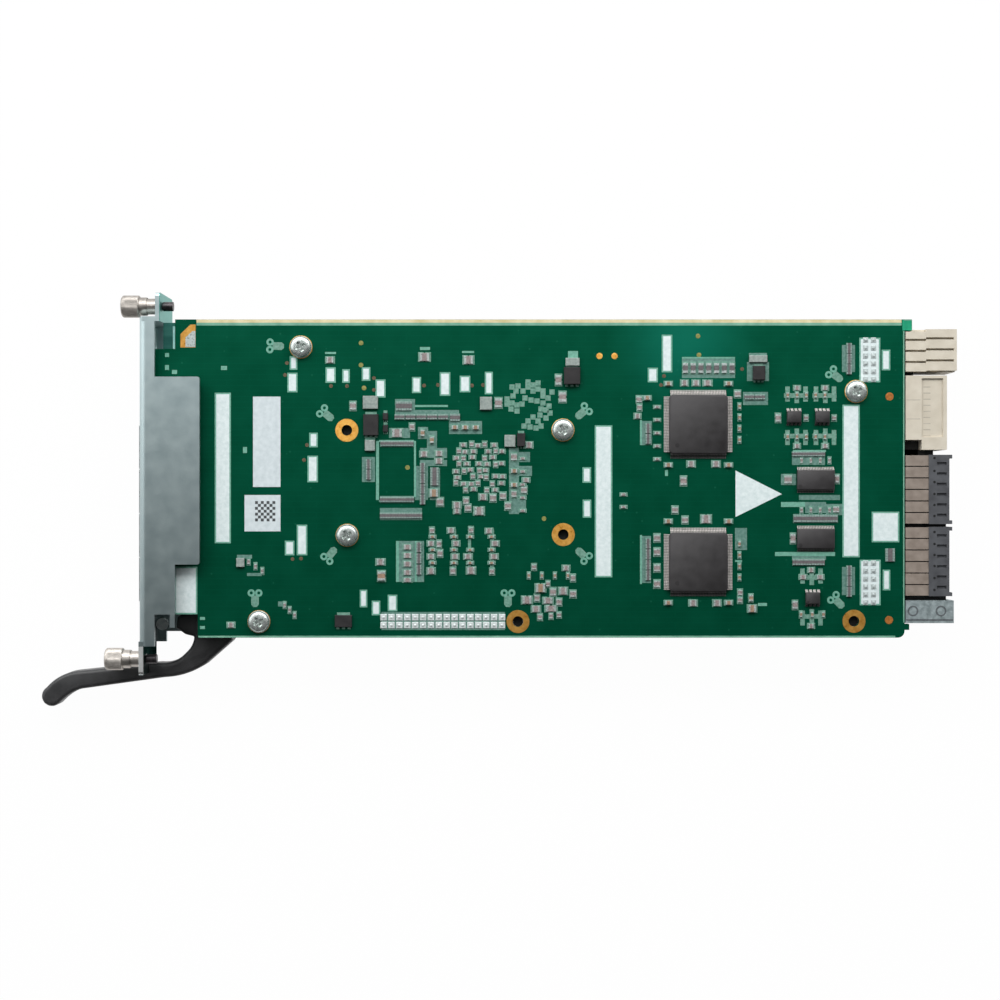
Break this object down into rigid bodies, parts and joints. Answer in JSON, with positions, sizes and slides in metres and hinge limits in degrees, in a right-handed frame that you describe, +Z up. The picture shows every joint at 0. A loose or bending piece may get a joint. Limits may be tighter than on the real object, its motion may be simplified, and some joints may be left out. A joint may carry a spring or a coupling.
{
  "type": "control and uplink card",
  "caption": "Plug-in control and uplink card for a telecom chassis: populated circuit board, folded front panel with ports, captive screws, ejector lever and rear backplane connectors.",
  "frame": {"origin": "middle of the card's outline, level with the lowest edge of the front panel, with the card lying component side down", "axes": "+X along the card from the front panel to the rear connectors, +Y across it towards the set-back ear, +Z up out of the solder side"},
  "size_m": [0.2966, 0.1338, 0.0222],
  "materials": {
    "zinc_sheet": "zinc plated sheet, satin",
    "bright_steel": "bright plated",
    "nickel": "nickel plated, knurled",
    "black_plastic": "moulded, fine texture",
    "board_laminate": "green solder mask",
    "port_shell": "tinned sheet",
    "clear_plastic": "clear",
    "beige_plastic": "moulded",
    "grey_plastic": "moulded",
    "tan_plastic": "moulded",
    "die_cast": "cast, satin",
    "chip_plastic": "moulded",
    "capacitor_ceramic": "fired",
    "resistor_ceramic": "coated",
    "thermal_rubber": "soft",
    "sink_aluminium": "extruded"
  },
  "bodies": {
    "card": {"front_panel": "zinc_sheet", "panel_bracket": "zinc_sheet", "panel_foot": "zinc_sheet", "lever_bracket": "zinc_sheet", "board_screws": "bright_steel", "flange_rivet": "bright_steel", "lever_pivot": "bright_steel", "ferrules": "nickel", "jack_insert": "black_plastic", "long_header": "black_plastic", "upper_header": "black_plastic", "lower_header": "black_plastic", "uplink_socket_1": "black_plastic", "uplink_socket_2": "black_plastic", "uplink_socket_3": "black_plastic", "uplink_socket_4": "black_plastic", "circuit_board": "board_laminate", "jack_shell": "port_shell", "uplink_cage_1": "port_shell", "uplink_cage_2": "port_shell", "uplink_cage_3": "port_shell", "uplink_cage_4": "port_shell", "status_lights": "clear_plastic", "power_connector": "beige_plastic", "signal_connector": "beige_plastic", "fast_housing_1": "grey_plastic", "fast_housing_2": "grey_plastic", "fast_wafers_1": "tan_plastic", "fast_wafers_2": "tan_plastic", "guide_block": "die_cast", "quad_chip_upper": "chip_plastic", "quad_chip_lower": "chip_plastic", "bus_chip_upper": "chip_plastic", "bus_chip_lower": "chip_plastic", "small_chips": "chip_plastic", "regulators": "chip_plastic", "switch_chip": "chip_plastic", "processor_chip": "chip_plastic", "memory_chips": "chip_plastic", "store_chip": "chip_plastic", "network_chip": "chip_plastic", "converter_module": "chip_plastic", "power_coils": "chip_plastic", "bulk_capacitors": "chip_plastic", "chip_capacitors": "capacitor_ceramic", "chip_resistors": "resistor_ceramic", "chip_networks": "resistor_ceramic", "thermal_pad": "thermal_rubber", "heat_sink": "sink_aluminium", "processor_sink": "sink_aluminium", "crystal_cans": "sink_aluminium"},
    "lever": {"ejector_lever": "black_plastic"},
    "upper_carriage": {"upper_spring": "bright_steel"},
    "upper_screw": {"upper_knob": "nickel", "upper_captive_screw": "bright_steel"},
    "lower_carriage": {"lower_spring": "bright_steel"},
    "lower_screw": {"lower_knob": "nickel", "lower_captive_screw": "bright_steel"}
  },
  "joints": [
    {"name": "lever_swing", "type": "hinge", "parent": "card", "child": "lever", "pos_m": [-0.093, -0.04011, 0.008], "axis": [0, 0, 1], "range_deg": [0, 45]},
    {"name": "upper_screw_travel", "type": "slide", "parent": "card", "child": "upper_carriage", "axis": [1, 0, 0], "range_m": [0, 0.003], "stiffness_N_per_m": 300, "springref_m": -0.004, "deforming": ["upper_spring"]},
    {"name": "upper_screw_turn", "type": "hinge", "parent": "upper_carriage", "child": "upper_screw", "pos_m": [-0.111, 0.06279, 0.0173], "axis": [1, 0, 0], "continuous": true},
    {"name": "lower_screw_travel", "type": "slide", "parent": "card", "child": "lower_carriage", "axis": [1, 0, 0], "range_m": [0, 0.003], "stiffness_N_per_m": 300, "springref_m": -0.004, "deforming": ["lower_spring"]},
    {"name": "lower_screw_turn", "type": "hinge", "parent": "lower_carriage", "child": "lower_screw", "pos_m": [-0.111, -0.05081, 0.0173], "axis": [1, 0, 0], "continuous": true}
  ]
}
